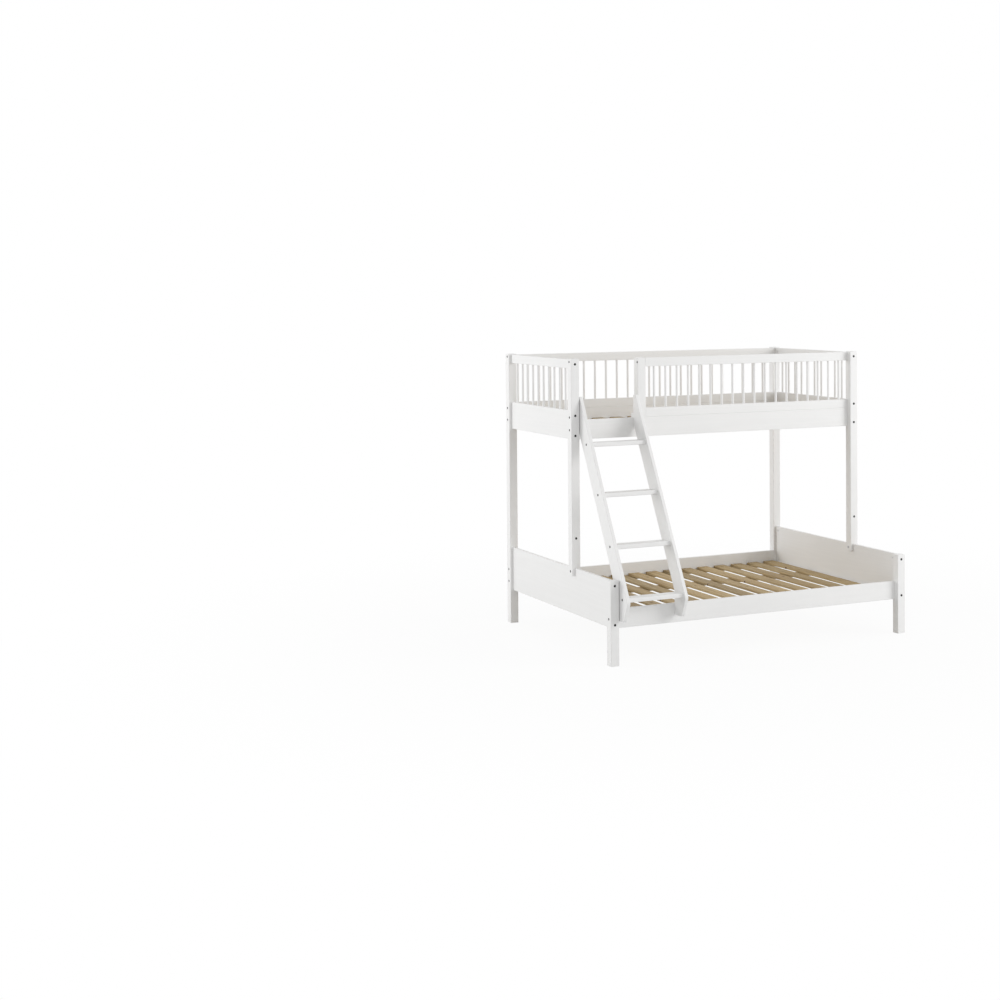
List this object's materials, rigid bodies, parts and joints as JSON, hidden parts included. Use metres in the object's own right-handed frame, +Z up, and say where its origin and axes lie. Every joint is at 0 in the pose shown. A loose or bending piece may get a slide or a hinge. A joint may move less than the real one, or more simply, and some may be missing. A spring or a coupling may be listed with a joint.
{
  "type": "bunk bed",
  "caption": "White wooden bunk bed: a wide lower bed and a narrow upper bed with spindle guard rails, pine slats and a leaning lift-off ladder.",
  "frame": {"origin": "on the floor, under the middle of the bed's whole box (ladder included)", "axes": "+X along the bed towards the end without the ladder, +Y towards the back, +Z up"},
  "size_m": [2.09, 1.6279, 1.775],
  "materials": {
    "white_paint": "satin white paint on wood",
    "pine": "bare planed pine",
    "beech": "fluted dowel",
    "black_steel": "black",
    "zinc_steel": "zinc plated",
    "cap_plastic": "matt black"
  },
  "bodies": {
    "frame": {"back_bed_rail": "white_paint", "back_guard_board": "white_paint", "back_spindles": "white_paint", "back_top_rail": "white_paint", "beam_hanger_left": "zinc_steel", "beam_hanger_right": "zinc_steel", "board_dowels": "beech", "bore_caps": "cap_plastic", "end_spindles_left": "white_paint", "end_spindles_right": "white_paint", "end_top_rail_left": "white_paint", "end_top_rail_right": "white_paint", "fork_bolt_nuts": "zinc_steel", "fork_bolts": "black_steel", "frame_bolt_nuts": "zinc_steel", "frame_bolts": "black_steel", "front_bed_rail": "white_paint", "guard_board": "white_paint", "guard_bolt_nuts": "zinc_steel", "guard_bolts": "black_steel", "guard_spindles": "white_paint", "guard_stile": "white_paint", "guard_top_rail": "white_paint", "hanger_screws": "zinc_steel", "ledger_lower_back": "pine", "ledger_lower_front": "pine", "ledger_screws": "zinc_steel", "ledger_upper_back": "pine", "ledger_upper_front": "pine", "leg_front_left": "white_paint", "leg_front_right": "white_paint", "lower_back_rail": "white_paint", "lower_end_panel_left": "white_paint", "lower_end_panel_right": "white_paint", "lower_front_rail": "white_paint", "lower_slats": "pine", "post_back_left": "white_paint", "post_back_right": "white_paint", "post_front_left": "white_paint", "post_front_right": "white_paint", "rail_bolt_nuts": "zinc_steel", "rail_bolts": "black_steel", "rail_dowels": "beech", "slat_beam": "pine", "slat_screws": "zinc_steel", "stile_screws": "zinc_steel", "upper_end_panel_left": "white_paint", "upper_end_panel_right": "white_paint", "upper_slats": "pine"},
    "ladder": {"ladder_bolt_nuts": "zinc_steel", "ladder_bolts": "black_steel", "ladder_dowels": "beech", "ladder_stile_left": "white_paint", "ladder_stile_right": "white_paint", "ladder_tread_1": "white_paint", "ladder_tread_2": "white_paint", "ladder_tread_3": "white_paint", "ladder_tread_4": "white_paint"}
  },
  "joints": [
    {"name": "ladder_lift", "type": "slide", "parent": "frame", "child": "ladder", "axis": [0, 0, 1], "range_m": [0, 0.06]}
  ]
}
